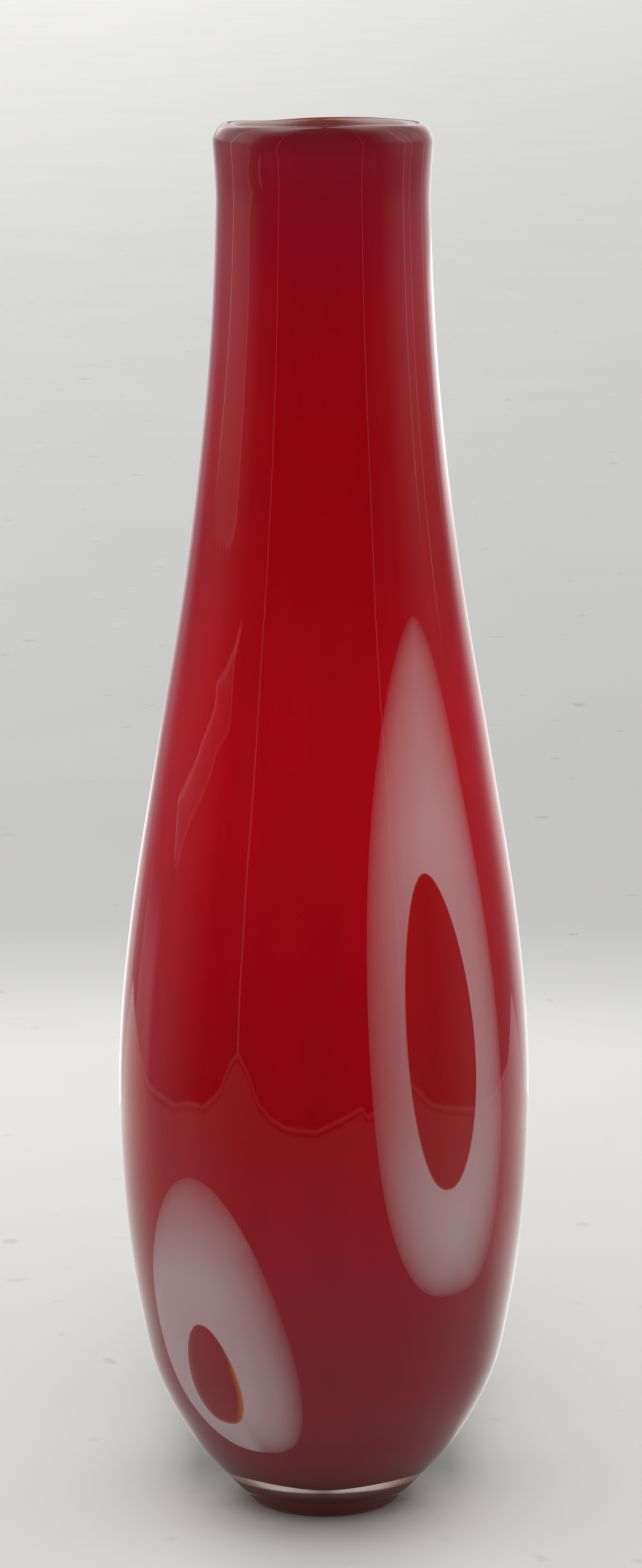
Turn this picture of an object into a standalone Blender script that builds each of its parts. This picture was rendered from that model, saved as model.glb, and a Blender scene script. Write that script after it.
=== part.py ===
"""Tall vase of cased glass with four inlaid ovals, each with a red core.

Metres, +Z up. The origin is the centre of the ground flat that the vase stands on.
The glass is three nested layers. An opal lining is blown first, a red layer is gathered over it,
and a clear casing closes over both: thin on the wall, thick in the base, and folded over the lip
and down inside it, where it meets the lining's rim. Each oval is a thin pale inlay, flush with the
red layer's outer side, and a red core is seated in a hole through it.
"""

import math
from collections import namedtuple

import bmesh
import bpy
from mathutils import Vector

# Outer form
HEIGHT = 0.450
FOOT_RADIUS = 0.0235
FOOT_EDGE = 0.0012
BELLY_RADIUS = 0.0665
BELLY_HEIGHT = 0.132
NECK_RADIUS = 0.0340
NECK_HEIGHT = 0.424
LIP_RADIUS = 0.0350
LIP_ROUND = 0.0055

# Glass layers, from the outside in
CASING_WALL = 0.0026
CASING_BASE = 0.0110
BASE_BLEND_HEIGHT = 0.078
LIP_WALL = 0.0014
LIP_FOLD = 0.0095
INLAY_DEPTH = 0.0011
INLAY_BACKING = 0.0008
LINING_WALL = 0.0015
CLEARANCE = 0.0003
RED_WALL = INLAY_DEPTH + CLEARANCE + INLAY_BACKING
LINING_DEPTH = CLEARANCE + RED_WALL + CLEARANCE
INSIDE_DEPTH = LINING_DEPTH + LINING_WALL

# Cutters reach this far past the faces that they cut
OVERRUN = 0.0010

# An oval is seen square on. Its low end, length and half width are lengths. Lean is how far its
# top stands to the side of its low end, bow is how far its middle is bent to the side, and aside
# is how far the whole of it is moved. Widest share is how far up it is widest, and the fullness
# power is under 1 where its ends are blunt.
Oval = namedtuple("Oval", "low length half_width lean bow aside widest_share fullness_share")

TALL_LENGTH = 0.2170
TALL_HALF_WIDTH = 0.0250
TALL_LEAN = -0.0016
TALL_BOW = -0.0052
TALL_SHARES = (0.32, 0.56)
TALL_CORE_LIFT = 0.0358
TALL_CORE_LENGTH = 0.1014
TALL_CORE_HALF_WIDTH = 0.0129
TALL_CORE_LEAN = -0.0040
TALL_CORE_ASIDE = -0.0040
TALL_CORE_SHARES = (0.44, 0.51)

SHORT_LENGTH = 0.0924
SHORT_HALF_WIDTH = 0.0258
SHORT_LEAN = -0.0102
SHORT_BOW = -0.0020
SHORT_SHARES = (0.43, 0.48)
SHORT_CORE_LIFT = 0.0094
SHORT_CORE_LENGTH = 0.0337
SHORT_CORE_HALF_WIDTH = 0.0102
SHORT_CORE_LEAN = -0.0031
SHORT_CORE_ASIDE = -0.0031
SHORT_CORE_SHARES = (0.43, 0.46)

# Where each oval sits: its low end, and how far round it is from the front (-Y) towards +X
FRONT_TALL_LOW = 0.0812
FRONT_TALL_TURN = math.radians(40.7)
FRONT_SHORT_LOW = 0.0280
FRONT_SHORT_TURN = math.radians(-35.7)
BACK_TALL_LOW = 0.0560
BACK_TALL_TURN = math.radians(-130)
BACK_SHORT_LOW = 0.1480
BACK_SHORT_TURN = math.radians(132)

# The outer line as shares: of the way up from the foot to the belly, and out from the foot's
# radius to the belly's; then of the way up from the belly to the neck, and in to the neck's radius
LOWER_SHARES = (
    (0.0, 0.0),
    (0.076, 0.225),
    (0.167, 0.463),
    (0.333, 0.733),
    (0.5, 0.857),
    (0.7, 0.945),
)
UPPER_SHARES = (
    (0.0, 0.0),
    (0.11, 0.027),
    (0.235, 0.149),
    (0.403, 0.398),
    (0.61, 0.705),
    (0.815, 0.915),
    (1.0, 1.0),
)

# How fine the turned faces and the outlines are
TURN_STEPS = 48
SKIN_STEPS = 22
BUBBLE_STEPS = 17
LIP_STEPS = 6
RIM_STEPS = 4
EDGE_STEPS = 2
FINE_STEPS = 16
OVAL_POINTS = 26
CORE_POINTS = 22

# The casing's inner line leaves the axis square to it, then bends up into the wall
BASE_REACH_SHARE = 0.62
WALL_REACH_SHARE = 0.60

# Colours, linear
CLEAR = (0.93, 0.93, 0.94, 1.0)
RED = (0.30, 0.004, 0.008, 1.0)
OPAL = (0.74, 0.70, 0.68, 1.0)
PALE_PINK = (0.42, 0.22, 0.25, 1.0)
CORE_RED = (0.25, 0.030, 0.022, 1.0)


def clear_scene():
    for thing in list(bpy.data.objects):
        bpy.data.objects.remove(thing, do_unlink=True)


def collection(name):
    made = bpy.data.collections.new(name)
    bpy.context.scene.collection.children.link(made)
    return made


def glass(name, colour, roughness, transmission):
    made = bpy.data.materials.new(name)
    made.use_nodes = True
    made.diffuse_color = colour
    shader = made.node_tree.nodes["Principled BSDF"]
    shader.inputs["Base Color"].default_value = colour
    shader.inputs["Roughness"].default_value = roughness
    shader.inputs["Metallic"].default_value = 0.0
    shader.inputs["IOR"].default_value = 1.5
    shader.inputs["Transmission Weight"].default_value = transmission
    return made


def smooth_line(points, steps):
    """A smooth line through the points, with this many steps between each two of them."""
    ends = [2 * points[0] - points[1]] + list(points) + [2 * points[-1] - points[-2]]
    line = []
    for before, start, end, after in zip(ends, ends[1:], ends[2:], ends[3:]):
        span = (end - start).length
        start_pull = (end - before) * (span / (end - before).length)
        end_pull = (after - start) * (span / (after - start).length)
        for step in range(steps):
            t = step / steps
            line.append(
                start * (2 * t**3 - 3 * t**2 + 1)
                + start_pull * (t**3 - 2 * t**2 + t)
                + end * (3 * t**2 - 2 * t**3)
                + end_pull * (t**3 - t**2)
            )
    line.append(points[-1].copy())
    return line


def respaced(line, steps):
    """The same line in fewer pieces, shorter where it bends more."""
    whole = sum((b - a).length for a, b in zip(line, line[1:]))
    travel = [0.0]
    for index in range(1, len(line)):
        piece = line[index] - line[index - 1]
        ahead = line[min(index + 1, len(line) - 1)] - line[index]
        bend = piece.angle(ahead, 0.0)
        travel.append(travel[-1] + piece.length / whole + bend / (math.pi / 2))
    found = []
    index = 0
    for step in range(steps + 1):
        target = travel[-1] * step / steps
        while index < len(line) - 2 and travel[index + 1] < target:
            index += 1
        share = (target - travel[index]) / (travel[index + 1] - travel[index])
        found.append(line[index].lerp(line[index + 1], share))
    return found


def inward(line):
    """For each point, the unit direction into the vessel: up at the axis, level at the top."""
    found = []
    for index, point in enumerate(line):
        run = line[min(index + 1, len(line) - 1)] - line[max(index - 1, 0)]
        found.append(Vector((-run.y, run.x)).normalized())
    found[0] = Vector((0.0, 1.0))
    found[-1] = Vector((-1.0, 0.0))
    return found


def inset(line, depth):
    """The line moved into the vessel by depth. Every layer keeps the same stations."""
    return [point + way * depth for point, way in zip(line, inward(line))]


def outer_points():
    """The outer line's shaping points, from the foot's edge up to where the lip starts to round."""
    lower_rise = BELLY_HEIGHT
    lower_reach = BELLY_RADIUS - FOOT_RADIUS
    points = [
        Vector((FOOT_RADIUS + lower_reach * out, lower_rise * up)) for up, out in LOWER_SHARES
    ]
    upper_rise = NECK_HEIGHT - BELLY_HEIGHT
    upper_reach = BELLY_RADIUS - NECK_RADIUS
    points += [
        Vector((BELLY_RADIUS - upper_reach * back, BELLY_HEIGHT + upper_rise * up))
        for up, back in UPPER_SHARES
    ]
    points.append(Vector((LIP_RADIUS, HEIGHT - LIP_ROUND)))
    return points


def outer_line():
    """The fine outer line, from the foot's edge to where the lip starts to round."""
    return smooth_line(outer_points(), FINE_STEPS)


def foot_line(skin):
    """The ground flat from the axis out, and the small rounded edge that leads onto the skin."""
    corner = skin[0]
    climb = (skin[1] - corner).normalized()
    start = corner - Vector((FOOT_EDGE, 0.0))
    end = corner + climb * FOOT_EDGE
    line = [Vector((0.0, 0.0)), start]
    for step in range(1, EDGE_STEPS):
        t = step / EDGE_STEPS
        line.append(start.lerp(corner, t).lerp(corner.lerp(end, t), t))
    return line, end


def bubble_line(skin):
    """The casing's inner side: up from the axis, round into the wall and on to where the lip rounds."""
    wall = [p for p in inset(skin, CASING_WALL) if BASE_BLEND_HEIGHT < p.y < HEIGHT - LIP_ROUND]
    top = Vector((LIP_RADIUS - CASING_WALL, HEIGHT - LIP_ROUND))
    join = wall[0]
    climb = (wall[1] - join).normalized()
    base = Vector((0.0, CASING_BASE))
    base_pull = base + Vector((join.x * BASE_REACH_SHARE, 0.0))
    wall_pull = join - climb * (join.y - CASING_BASE) * WALL_REACH_SHARE
    round_base = []
    for step in range(FINE_STEPS):
        t = step / FINE_STEPS
        round_base.append(
            base * (1 - t) ** 3
            + base_pull * (3 * t * (1 - t) ** 2)
            + wall_pull * (3 * t**2 * (1 - t))
            + join * t**3
        )
    return respaced(round_base + wall + [top], BUBBLE_STEPS)


def turned(name, line, home, material=None):
    """A solid of revolution from a line that runs up its inner side and down its outer side."""
    mesh = bpy.data.meshes.new(name)
    frame = bmesh.new()
    corners = [frame.verts.new((point.x, 0.0, point.y)) for point in line]
    for first, second in zip(corners, corners[1:]):
        frame.edges.new((first, second))
    frame.to_mesh(mesh)
    frame.free()
    made = bpy.data.objects.new(name, mesh)
    home.objects.link(made)
    screw = made.modifiers.new("turn", "SCREW")
    screw.axis = "Z"
    screw.steps = TURN_STEPS
    screw.render_steps = TURN_STEPS
    screw.use_merge_vertices = True
    screw.merge_threshold = 0.00001
    screw.use_smooth_shade = True
    if material:
        mesh.materials.append(material)
    return made


def cut_at(line, height):
    """The parts of a rising line below and above a height. Both have a point at that height."""
    below = [point for point in line if point.y < height]
    above = line[len(below) :]
    share = (height - below[-1].y) / (above[0].y - below[-1].y)
    cut = below[-1].lerp(above[0], share)
    return below + [cut], [cut] + above


def arch(start, end, rise, steps):
    """The points of half an ellipse over two points at one height, without those two."""
    middle = (start + end) / 2
    reach = (start - end) / 2
    points = []
    for step in range(1, steps):
        angle = math.pi * step / steps
        points.append(middle + reach * math.cos(angle) + Vector((0.0, rise * math.sin(angle))))
    return points


def layer_line(bubble, outer_depth, inner_depth):
    """One layer's line, between two depths behind the casing's inner side."""
    return inset(bubble, inner_depth) + list(reversed(inset(bubble, outer_depth)))


def oval_outline(oval, count, grow=0.0):
    """The oval's closed outline as seen square on, moved outwards by grow."""
    power = math.log(0.5) / math.log(oval.widest_share)
    points = []
    for index in range(count):
        angle = 2 * math.pi * index / count
        up = (1 - math.cos(angle)) / 2
        side = 1 if angle < math.pi else -1
        width = max(math.sin(math.pi * up**power), 0.0) ** oval.fullness_share
        middle = oval.aside + oval.lean * (up - 0.5) + oval.bow * 4 * up * (1 - up)
        across = middle + side * oval.half_width * width
        points.append(Vector((across, oval.low + oval.length * up)))
    moved = []
    for index, point in enumerate(points):
        run = points[(index + 1) % count] - points[index - 1]
        moved.append(point + Vector((run.y, -run.x)).normalized() * grow)
    return moved


def prism(name, outline, turn, home, material=None):
    """The outline extruded from the axis out past the belly, then turned about +Z."""
    mesh = bpy.data.meshes.new(name)
    frame = bmesh.new()
    near = [frame.verts.new((point.x, 0.0, point.y)) for point in outline]
    base = frame.faces.new(near)
    grown = bmesh.ops.extrude_face_region(frame, geom=[base])
    far = [item for item in grown["geom"] if isinstance(item, bmesh.types.BMVert)]
    bmesh.ops.translate(frame, verts=far, vec=(0.0, -(BELLY_RADIUS + OVERRUN), 0.0))
    bmesh.ops.recalc_face_normals(frame, faces=frame.faces)
    frame.to_mesh(mesh)
    frame.free()
    made = bpy.data.objects.new(name, mesh)
    made.rotation_euler.z = turn
    home.objects.link(made)
    if material:
        mesh.materials.append(material)
    return made


def boolean(target, name, operation, tool):
    made = target.modifiers.new(name, "BOOLEAN")
    made.solver = "EXACT"
    made.operation = operation
    made.object = tool


def hide(cutter):
    cutter.hide_render = True
    cutter.display_type = "WIRE"


def tall_oval(low):
    oval = Oval(low, TALL_LENGTH, TALL_HALF_WIDTH, TALL_LEAN, TALL_BOW, 0.0, *TALL_SHARES)
    core = Oval(
        low + TALL_CORE_LIFT,
        TALL_CORE_LENGTH,
        TALL_CORE_HALF_WIDTH,
        TALL_CORE_LEAN,
        0.0,
        TALL_CORE_ASIDE,
        *TALL_CORE_SHARES,
    )
    return oval, core


def short_oval(low):
    oval = Oval(low, SHORT_LENGTH, SHORT_HALF_WIDTH, SHORT_LEAN, SHORT_BOW, 0.0, *SHORT_SHARES)
    core = Oval(
        low + SHORT_CORE_LIFT,
        SHORT_CORE_LENGTH,
        SHORT_CORE_HALF_WIDTH,
        SHORT_CORE_LEAN,
        0.0,
        SHORT_CORE_ASIDE,
        *SHORT_CORE_SHARES,
    )
    return oval, core


def ovals():
    """Each inlaid oval: its name, its outline, its core's outline and its place round the vase."""
    return (
        ("front_tall", *tall_oval(FRONT_TALL_LOW), FRONT_TALL_TURN),
        ("front_short", *short_oval(FRONT_SHORT_LOW), FRONT_SHORT_TURN),
        ("back_tall", *tall_oval(BACK_TALL_LOW), BACK_TALL_TURN),
        ("back_short", *short_oval(BACK_SHORT_LOW), BACK_SHORT_TURN),
    )


def make_casing(skin, bubble, home):
    """The clear outer layer: bubble side, over the red's rim, down and up the fold, lip and skin."""
    flat, skin_start = foot_line(skin)
    above = [point for point in skin if point.y > skin_start.y]
    outside = respaced([skin_start] + above, SKIN_STEPS)
    fold_height = HEIGHT - LIP_FOLD
    fold_back = cut_at(inset(bubble, LINING_DEPTH), fold_height)[1]
    fold_face = cut_at(inset(bubble, INSIDE_DEPTH), fold_height)[1]
    over_rim = arch(bubble[-1], fold_back[-1], LIP_ROUND - LIP_WALL, RIM_STEPS)
    lip = arch(fold_face[-1], outside[-1], LIP_ROUND, LIP_STEPS)
    line = bubble + over_rim + list(reversed(fold_back)) + fold_face
    line += lip + list(reversed(outside)) + list(reversed(flat))
    turned("clear_casing", line, home, glass("clear_glass", CLEAR, 0.02, 1.0))


def make_red_layer(bubble, pockets, home):
    inside = inset(bubble, CLEARANCE + RED_WALL)
    outside = inset(bubble, CLEARANCE)
    rim = arch(inside[-1], outside[-1], LIP_ROUND - LIP_WALL - CLEARANCE, RIM_STEPS)
    line = inside + rim + list(reversed(outside))
    layer = turned("red_layer", line, home, glass("red_glass", RED, 0.06, 0.0))
    for pocket in pockets:
        boolean(layer, pocket.name, "DIFFERENCE", pocket)


def make_lining(bubble, home):
    rim_height = HEIGHT - LIP_FOLD - CLEARANCE
    inside = cut_at(inset(bubble, INSIDE_DEPTH), rim_height)[0]
    outside = cut_at(inset(bubble, LINING_DEPTH), rim_height)[0]
    line = inside + list(reversed(outside))
    turned("opal_lining", line, home, glass("opal_glass", OPAL, 0.10, 0.0))


def make_slab(name, bubble, outer_depth, inner_depth, cutters):
    """A guide with the vessel's curve, which gives the inlays and their pockets their faces."""
    slab = turned(name, layer_line(bubble, outer_depth, inner_depth), cutters)
    hide(slab)
    return slab


def make_inlays(bubble, home, cutters):
    """Makes every oval and core, and returns the cutters of their pockets in the red layer."""
    inlay_floor = CLEARANCE + INLAY_DEPTH
    inlay_slab = make_slab("inlay_slab", bubble, CLEARANCE, inlay_floor, cutters)
    pocket_slab = make_slab("pocket_slab", bubble, -OVERRUN, inlay_floor + CLEARANCE, cutters)
    pale = glass("pale_pink_glass", PALE_PINK, 0.08, 0.0)
    red = glass("core_red_glass", CORE_RED, 0.08, 0.0)
    pockets = []
    for name, oval, core, turn in ovals():
        hole_outline = oval_outline(core, CORE_POINTS, CLEARANCE)
        hole = prism(f"{name}_hole", hole_outline, turn, cutters)
        hide(hole)
        piece = prism(f"{name}_oval", oval_outline(oval, OVAL_POINTS), turn, home, pale)
        boolean(piece, "follow_curve", "INTERSECT", inlay_slab)
        boolean(piece, "core_hole", "DIFFERENCE", hole)
        core_piece = prism(f"{name}_core", oval_outline(core, CORE_POINTS), turn, home, red)
        boolean(core_piece, "follow_curve", "INTERSECT", inlay_slab)
        pocket_outline = oval_outline(oval, OVAL_POINTS, CLEARANCE)
        pocket = prism(f"{name}_pocket", pocket_outline, turn, cutters)
        boolean(pocket, "follow_curve", "INTERSECT", pocket_slab)
        hide(pocket)
        pockets.append(pocket)
    return pockets


def main():
    clear_scene()
    home = collection("glass_vase")
    cutters = collection("cutters")
    skin = outer_line()
    bubble = bubble_line(skin)
    make_casing(skin, bubble, home)
    pockets = make_inlays(bubble, home, cutters)
    make_red_layer(bubble, pockets, home)
    make_lining(bubble, home)


main()
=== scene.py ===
"""The looks of the cased glass vase: fine meshes of each glass layer, their materials and the studio.

Metres, +Z up. The photograph looks along +Y. Angles round the vase run from the front (-Y) to +X.
"""

import math
from collections import namedtuple

import bmesh
import bpy
import numpy as np
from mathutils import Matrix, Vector, noise


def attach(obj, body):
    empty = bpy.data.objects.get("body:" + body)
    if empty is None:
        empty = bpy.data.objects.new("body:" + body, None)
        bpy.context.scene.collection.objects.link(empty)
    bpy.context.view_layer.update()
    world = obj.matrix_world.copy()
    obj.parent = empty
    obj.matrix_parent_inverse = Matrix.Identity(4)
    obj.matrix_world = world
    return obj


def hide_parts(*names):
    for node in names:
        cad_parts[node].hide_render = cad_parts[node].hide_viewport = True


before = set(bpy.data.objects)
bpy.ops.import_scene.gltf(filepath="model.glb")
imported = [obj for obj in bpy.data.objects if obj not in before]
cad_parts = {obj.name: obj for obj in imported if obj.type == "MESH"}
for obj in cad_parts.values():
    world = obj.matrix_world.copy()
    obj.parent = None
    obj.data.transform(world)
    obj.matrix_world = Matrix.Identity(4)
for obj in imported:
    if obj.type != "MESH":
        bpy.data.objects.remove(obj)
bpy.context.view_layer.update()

# Camera, fitted to the photograph's outline
FRAME_HEIGHT_PX = 2576
FOCAL_PX = 8853
CAMERA_DISTANCE = 1.706
CAMERA_HEIGHT = 0.554
CAMERA_SIDE = -0.0004
CAMERA_PITCH = math.radians(10.486)
CAMERA_ROLL = math.radians(0.09)
SENSOR = 36.0

# The vase's outer form and layers, as in the part's source
HEIGHT = 0.450
FOOT_RADIUS = 0.0235
FOOT_EDGE = 0.0012
BELLY_RADIUS = 0.0665
BELLY_HEIGHT = 0.132
NECK_RADIUS = 0.0340
NECK_HEIGHT = 0.424
LIP_RADIUS = 0.0350
LIP_ROUND = 0.0055
LIP_WALL = 0.0007
LIP_FOLD = 0.0095
CASING_WALL = 0.0026
CASING_BASE = 0.0110
BASE_BLEND_HEIGHT = 0.078
INLAY_DEPTH = 0.0011
RED_DEPTH = 0.0025
INSIDE_DEPTH = 0.0043
LOWER_SHARES = (
    (0.0, 0.0), (0.076, 0.225), (0.167, 0.463), (0.333, 0.733), (0.5, 0.857), (0.7, 0.945),
)
UPPER_SHARES = (
    (0.0, 0.0), (0.11, 0.027), (0.235, 0.149), (0.403, 0.398), (0.61, 0.705), (0.815, 0.915),
    (1.0, 1.0),
)
BASE_REACH_SHARE = 0.62
WALL_REACH_SHARE = 0.60

WHITE = (1.0, 1.0, 1.0, 1.0)

# Fused layers share a face: each inner layer stands this far into the one over it
FUSE = 0.00006

# How fine the meshes are
TURN = 256
SKIN_STEPS = 170
BUBBLE_STEPS = 150
LIP_STEPS = 26
RIM_STEPS = 12
OUTLINE_STEPS = 16
BASE_STEPS = 32
EDGE_STEPS = 6
OVAL_POINTS = 200
OVAL_RINGS = 24
RING_CROWDING = 1.6

# Lengths below which a point is on the axis or on the flat, and two are one
ON_AXIS = 1e-7
ON_FLAT = 0.00002
WELD = 0.0000005

# How far the blown wall strays from true, and the height from which it does so fully
WOBBLE = 0.00030
WOBBLE_PACE = 1.1
WOBBLE_RISE = 9.0
WOBBLE_FULL = 0.05

# The lip's waves by angle, half width and rise. Its outer edge droops, and all fades in over a band
LIP_WAVES = ((0, 62, 0.0007), (22, 38, 0.0006), (-145, 22, -0.0006))
LIP_RIPPLE = 0.0003
LIP_DROOP = 0.0019
DROOP_FROM = 0.0296
DROOP_REACH = 0.0050
DROOP_POWER = 2.4
LIP_BAND = 0.012

# Air bubbles in the casing. The first few sit together
SEED_COUNT = 26
SEED_RADII = (0.00010, 0.00034)
SEED_HEIGHTS = (0.02, 0.43)
SEED_DEPTHS = (0.3, 0.7)
SEED_STRETCH = (1.0, 2.2)
CLUSTER_COUNT = 6
CLUSTER_ANGLES = (64, 72)
CLUSTER_HEIGHTS = (0.119, 0.147)

# Light on the vase, as radiance where 1 is paper white
HORIZON_LIGHT = 0.785
ZENITH_LIGHT = 1.18
FRONT_LIGHT_SHARE = 0.56
SKY_RISE = (-0.15, 0.9)
FRONT_FADE = (-0.9, 0.3)
DAYLIGHT = (1.0, 0.995, 0.985, 1.0)
FLOOR_RADIUS = 16.0
FLOOR_GAP = 0.0003

# The floor's tone by the logarithm of its distance from the vase in metres
# Painted light and shade: dimmer round the vase, brighter at about 0.6 m, then a backdrop's grey
FLOOR_TONES = (
    (-1.2, 0.86), (-0.87, 0.79), (-0.6, 0.795), (-0.27, 0.87), (-0.19, 0.89), (-0.14, 0.83),
    (-0.095, 0.725), (-0.04, 0.63), (0.064, 0.62), (0.25, 0.65), (0.44, 0.69), (0.65, 0.74),
    (0.91, 0.83), (1.15, 0.92), (1.204, 0.76),
)

# The floor's shade round the foot by distance, before it, and behind it by the distance to the side
CONTACT_SHADE = ((0.023, 0.40), (0.027, 0.60), (0.031, 0.80), (0.036, 0.95), (0.042, 1.0))
FRONT_SHADE = ((0.024, 0.82), (0.039, 0.73), (0.054, 0.83), (0.069, 0.87), (0.10, 0.95), (0.13, 1.0))
REAR_SHADE = (
    (0.0, 0.36), (0.035, 0.37), (0.042, 0.44), (0.049, 0.66), (0.056, 0.8), (0.062, 0.87),
    (0.068, 0.91), (0.076, 0.945), (0.105, 1.0),
)
BEFORE_WIDTH = (0.005, 0.055)
BEFORE_FROM = (-0.01, 0.0)
BEHIND_FROM = (-0.02, 0.04)
BEHIND_TO = (0.12, 0.32)

# The floor's painted light, brighter to the left and to the front, then its smears and its specks:
# over what span, and from what to what
PAINTED_LIGHT_LEFT_TO_RIGHT = ((-0.9, 0.9), (1.09, 0.91))
PAINTED_LIGHT_FRONT_TO_REAR = ((-0.1, 0.15), (1.05, 0.95))
SMEARS = ((0.3, 0.7), (0.99, 1.01))
SPECKS = ((0.70, 0.80), (1.0, 0.86))
FLOOR_BLUE = 0.985

# The cloth tent round the vase: angles in degrees from the front towards +X, heights in metres
TENT_RADIUS = 0.53
TENT_HEIGHT = 1.6
TENT_COLUMNS = 1440
ROOF_SPAN = (0.75, 1.44)
ROOF_BY_ANGLE = (
    (-180, 0.12), (-168, 0.18), (-150, 1.9), (-120, 3.2), (-80, 3.2), (-55, 1.2), (-38, 0.25),
    (38, 0.25), (55, 0.9), (80, 2.0), (120, 2.2), (150, 2.4), (168, 0.3), (180, 0.12),
)
WALL_BY_ANGLE = (
    (-180, 0.95), (-160, 0.75), (-150, 0.44), (-130, 0.36), (-112, 0.5), (-98, 0.5), (-88, 0.4),
    (-78, 0.22), (-66, 0.07), (-49, 0.035), (-46, 0.02), (41, 0.02), (43, 0.035), (62, 0.09),
    (72, 0.24), (82, 0.4), (92, 0.52), (105, 0.42), (118, 0.42), (130, 0.55), (143, 1.1),
    (158, 1.5), (180, 0.9),
)
WALL_BY_HEIGHT = (
    (0.0, 0.45), (0.1, 0.5), (0.2, 0.44), (0.3, 0.38), (0.34, 0.52), (0.385, 1.0),
)

# The wall behind the vase above the height of its lip
HIGH_WALL = (
    (-180, 0.03), (-176, 0.2), (-172, 0.9), (-165, 1.5), (-154, 1.8), (-140, 1.2), (-125, 0.9),
    (125, 0.5), (143, 0.85), (158, 1.3), (168, 1.5), (173, 0.7), (177, 0.1), (180, 0.03),
)

# Spans over which the cloth's light changes, by angle or height. Two spans make a band
SIDES = ((50, 60), (122, 140))
LEFT_SIDE = ((107, 114), (126, 131))
LEFT_REAR = (138, 144)
RIGHT_REAR = (132, 140)
REAR = (120, 132)
FRONT_UP_TO = (110, 130)
LOW_UP_TO = (0.13, 0.20)
RIGHT_NECK = ((0.26, 0.31), (0.365, 0.38))
NECK_FROM = (0.325, 0.345)
ABOVE_FROM = (0.46, 0.62)
HIGH_FROM = (0.47, 0.54)

# How much brighter the cloth is there, and a glow behind by angle, strength and half width
ABOVE_GAIN = 1.1
LEFT_REAR_GAIN = 1.1
LEFT_SIDE_GAIN = 1.2
RIGHT_NECK_GAIN = 0.6
REAR_GLOW = (-154, 0.33, 4)

# Upright streaks in the cloth's light, the last at the height of the neck
BROAD_STREAKS = 0.10
FINE_STREAKS = 0.16
NECK_STREAKS = 0.20

# Bright seams in the cloth: place, strength, half width, wander, lowest point, seed
WALL_LINES = (
    (-46.5, 0.60, 0.35, 0.9, 0.0, 11),
    (41.5, 0.60, 0.35, 0.5, 0.0, 12),
    (-110.0, 0.90, 0.5, 1.2, 0.33, 13),
    (90.0, 0.75, 0.5, 3.5, 0.33, 15),
    (101.0, 0.55, 0.6, 1.2, 0.30, 16),
    (127.0, 0.60, 0.6, 0.8, 0.30, 17),
)
SEAM_END = 0.03

# The thin veil at the left of the neck: height and the angle of its edge. Its light gathers there.
# A bright edge has a strength and a half width
VEIL = (
    (0.331, -106), (0.338, -98), (0.346, -86), (0.356, -80), (0.372, -82), (0.4, -84),
    (0.420, -79),
)
VEIL_WANDER = 0.8
VEIL_SOFT = (-0.3, 0.3)
VEIL_END = (109, 112)
VEIL_LIGHT = 0.10
VEIL_GATHER = 0.08
FADE_ANGLE = 6
VEIL_EDGE = (0.55, 0.45)

# A ragged fold in the cloth: height and the angles of its two edges
FOLD = (
    (0.213, -102, -101), (0.238, -107, -96), (0.251, -101, -92), (0.262, -96, -87),
    (0.28, -91, -79), (0.295, -86, -76), (0.31, -82, -69), (0.318, -83, -68), (0.33, -76, -69),
    (0.34, -70.5, -69.5), (0.352, -65.5, -65),
)
FOLD_SPANS = ((0.212, 0.225), (0.345, 0.353))
FOLD_RAGGED = 0.5
FOLD_RIGHT_SHARE = 0.7
FOLD_LIGHT = 0.05
FOLD_HAZE = 0.16
FOLD_LEFT_EDGE = (0.60, 0.6)
FOLD_RIGHT_EDGE = (0.30, 0.4)

# The wall's hem above the floor, by angle
HEM = (
    (-180, 0.0), (-150, 0.01), (-138, 0.1), (-125, 0.076), (-113, 0.048), (-107, 0.044),
    (-87, 0.037), (-77, 0.045), (-66, 0.046), (-57, 0.067), (-51, 0.103), (-46, 0.118),
    (-40, 0.096), (-35, 0.062), (-28, 0.043), (-20, 0.031), (-5, 0.026), (9, 0.043), (20, 0.057),
    (22, 0.041), (32, 0.06), (38, 0.073), (41, 0.108), (46, 0.078), (58, 0.048), (66, 0.04),
    (90, 0.028), (104, 0.036), (120, 0.054), (129, 0.1), (143, 0.02), (180, 0.0),
)
HEM_WANDER = 0.0008
HEM_SOFT = (-0.001, 0.0015)
HEM_EDGE = (0.15, 0.0022)
HEM_SHADE = (0.15, 0.0030)
HEM_SHADE_BELOW = 0.007

# How bright the floor is to the glass by distance, before, beside and behind the vase. It is lit
# more in two bands at the rear sides
FLOOR_FRONT = (
    (0.024, 0.05), (0.032, 0.12), (0.045, 0.25), (0.066, 0.36), (0.086, 0.38), (0.137, 0.36),
    (0.207, 0.3), (0.31, 0.23), (0.53, 0.17),
)
FLOOR_SIDE = (
    (0.024, 0.04), (0.032, 0.1), (0.045, 0.26), (0.07, 0.46), (0.137, 0.52), (0.3, 0.45),
    (0.53, 0.40),
)
FLOOR_REAR = (
    (0.024, 0.1), (0.05, 0.25), (0.07, 0.6), (0.2, 0.85), (0.35, 0.95), (0.53, 1.15),
)
FRONT_TO_SIDE = (35, 90)
SIDE_TO_REAR = (95, 150)
LIT_FROM = (95, 125)
LIT_SPANS = ((0.05, 0.08), (0.25, 0.40))
LIT_RIGHT = 0.5
LIT_LEFT = 0.15

# The cloth is a little cool where its light is dim
CLOTH_TINT = 0.97
COOL_TINT = 0.16
COOL_BELOW = (0.3, 0.9)
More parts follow.
